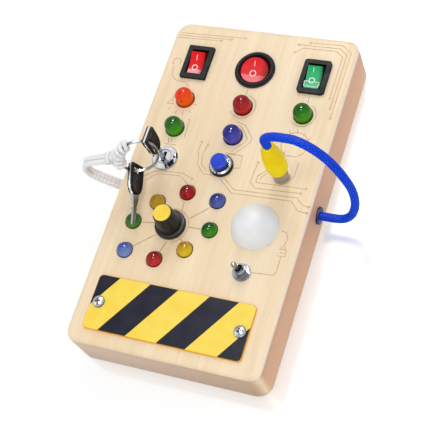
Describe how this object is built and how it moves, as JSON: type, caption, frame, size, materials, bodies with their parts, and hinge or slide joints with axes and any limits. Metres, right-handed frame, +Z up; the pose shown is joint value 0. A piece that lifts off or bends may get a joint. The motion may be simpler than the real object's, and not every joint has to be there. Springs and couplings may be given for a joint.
{
  "type": "wooden busy board",
  "caption": "Hollow wooden activity board with rocker, toggle and push switches, coloured lamps, a selector knob, a key lock with keys on a ring, a plug on a cord and a striped plate.",
  "frame": {"origin": "centre of the underside", "axes": "+X to the right, +Y along the board towards the rocker switches, +Z up out of the face"},
  "size_m": [0.158, 0.2, 0.0743],
  "materials": {
    "light_wood": "sanded and oiled, engraved lines",
    "panel_wood": "plain plywood back",
    "steel": "plain steel",
    "chrome": "bright plating",
    "nickel": "nickel plating, slightly warm",
    "grey_plastic": "moulded, fine grain",
    "black_plastic": "moulded, fine grain",
    "cell_wrap": "printed shrink sleeve",
    "lead_red": "PVC insulation",
    "board_green": "solder mask",
    "brass": "stamped brass",
    "hazard_yellow": "yellow plate with dark slanting stripes",
    "led_orange": "translucent orange lens",
    "led_red": "translucent red lens",
    "led_green": "translucent green lens",
    "led_dark_green": "translucent dark green lens",
    "led_violet": "translucent violet lens",
    "led_blue": "translucent blue lens",
    "led_yellow": "translucent yellow lens",
    "led_pale_blue": "translucent pale blue lens",
    "led_amber": "translucent amber lens",
    "milk_white": "milky diffuser",
    "rocker_red": "polished red",
    "rocker_green": "polished green",
    "button_blue": "polished royal blue",
    "plug_yellow": "moulded yellow with fine grooves",
    "cord_blue": "braided sleeve",
    "grommet_blue": "soft moulded",
    "white_cord": "round woven cord",
    "insert_yellow": "yellow disc with a pointer"
  },
  "bodies": {
    "board": {"wooden_body": "light_wood", "back_panel": "panel_wood", "back_screws": "steel", "battery_tray": "grey_plastic", "batteries": "cell_wrap", "battery_contacts": "steel", "battery_cover": "grey_plastic", "battery_leads": "lead_red", "circuit_board": "board_green", "board_screws": "steel", "striped_plate": "hazard_yellow", "plate_screws": "steel", "led_orange": "led_orange", "led_red": "led_red", "led_green_right": "led_green", "led_green_left": "led_dark_green", "led_violet": "led_violet", "ring_led_1": "led_red", "ring_led_2": "led_blue", "ring_led_3": "led_green", "ring_led_4": "led_yellow", "ring_led_5": "led_red", "ring_led_6": "led_pale_blue", "ring_led_7": "led_green", "ring_led_8": "led_amber", "lamp_dome": "milk_white", "lamp_led": "milk_white", "left_switch": "black_plastic", "round_switch": "black_plastic", "right_switch": "black_plastic", "switch_terminals": "brass", "selector_switch": "grey_plastic", "selector_nut": "steel", "lock_housing": "chrome", "tether_cord": "white_cord", "button_housing": "black_plastic", "button_bezel": "chrome", "button_spring": "steel", "mounting_nuts": "steel", "socket": "black_plastic", "socket_nut": "nickel", "plug_cord": "cord_blue", "cord_grommet": "grommet_blue", "toggle_switch": "nickel"},
    "left_rocker": {"left_rocker": "rocker_red"},
    "round_rocker": {"round_rocker": "rocker_red"},
    "right_rocker": {"right_rocker": "rocker_green"},
    "knob": {"selector_shaft": "steel", "knob": "black_plastic", "knob_insert": "insert_yellow"},
    "button": {"button_cap": "button_blue"},
    "toggle": {"toggle_lever": "chrome"},
    "key": {"lock_rotor": "nickel", "key_head": "black_plastic", "key_blade": "steel"},
    "ring": {"key_ring": "steel"},
    "second_key": {"second_key_head": "black_plastic", "second_key_blade": "steel"},
    "plug": {"plug_sleeve": "nickel", "plug_shell": "plug_yellow"}
  },
  "joints": [
    {"name": "left_rocker_tilt", "type": "hinge", "parent": "board", "child": "left_rocker", "pos_m": [-0.035, 0.0735, 0.024], "axis": [-1, 0, 0], "range_deg": [0, 26]},
    {"name": "round_rocker_tilt", "type": "hinge", "parent": "board", "child": "round_rocker", "pos_m": [0, 0.0735, 0.024], "axis": [-1, 0, 0], "range_deg": [0, 26]},
    {"name": "right_rocker_tilt", "type": "hinge", "parent": "board", "child": "right_rocker", "pos_m": [0.035, 0.0735, 0.024], "axis": [-1, 0, 0], "range_deg": [0, 26]},
    {"name": "knob_turn", "type": "hinge", "parent": "board", "child": "knob", "pos_m": [-0.0174, -0.0265, 0.026], "axis": [0, 0, 1], "range_deg": [-157.5, 157.5]},
    {"name": "button_press", "type": "slide", "parent": "board", "child": "button", "axis": [0, 0, -1], "range_m": [0, 0.003], "stiffness_N_per_m": 300, "springref_m": -0.002, "deforming": ["button_spring"]},
    {"name": "toggle_throw", "type": "hinge", "parent": "board", "child": "toggle", "pos_m": [0.0291, -0.0451, 0.028], "axis": [0, 1, 0], "range_deg": [0, 24]},
    {"name": "key_turn", "type": "hinge", "parent": "board", "child": "key", "pos_m": [-0.034, 0.0116, 0.026], "axis": [0, 0, 1], "range_deg": [-90, 0], "deforming": ["tether_cord"]},
    {"name": "key_ring_swing", "type": "hinge", "parent": "key", "child": "ring", "pos_m": [-0.034, 0.00702, 0.05275], "axis": [-0.8586, -0.5124, -0.0164], "range_deg": [0, 80], "deforming": ["tether_cord"]},
    {"name": "second_key_swing", "type": "hinge", "parent": "ring", "child": "second_key", "pos_m": [-0.04338, -0.00341, 0.03715], "axis": [-0.7943, -0.3042, 0.5258], "range_deg": [0, 80]},
    {"name": "plug_pull", "type": "slide", "parent": "board", "child": "plug", "axis": [0, 0, 1], "range_m": [0, 0.016], "deforming": ["plug_cord"]}
  ]
}
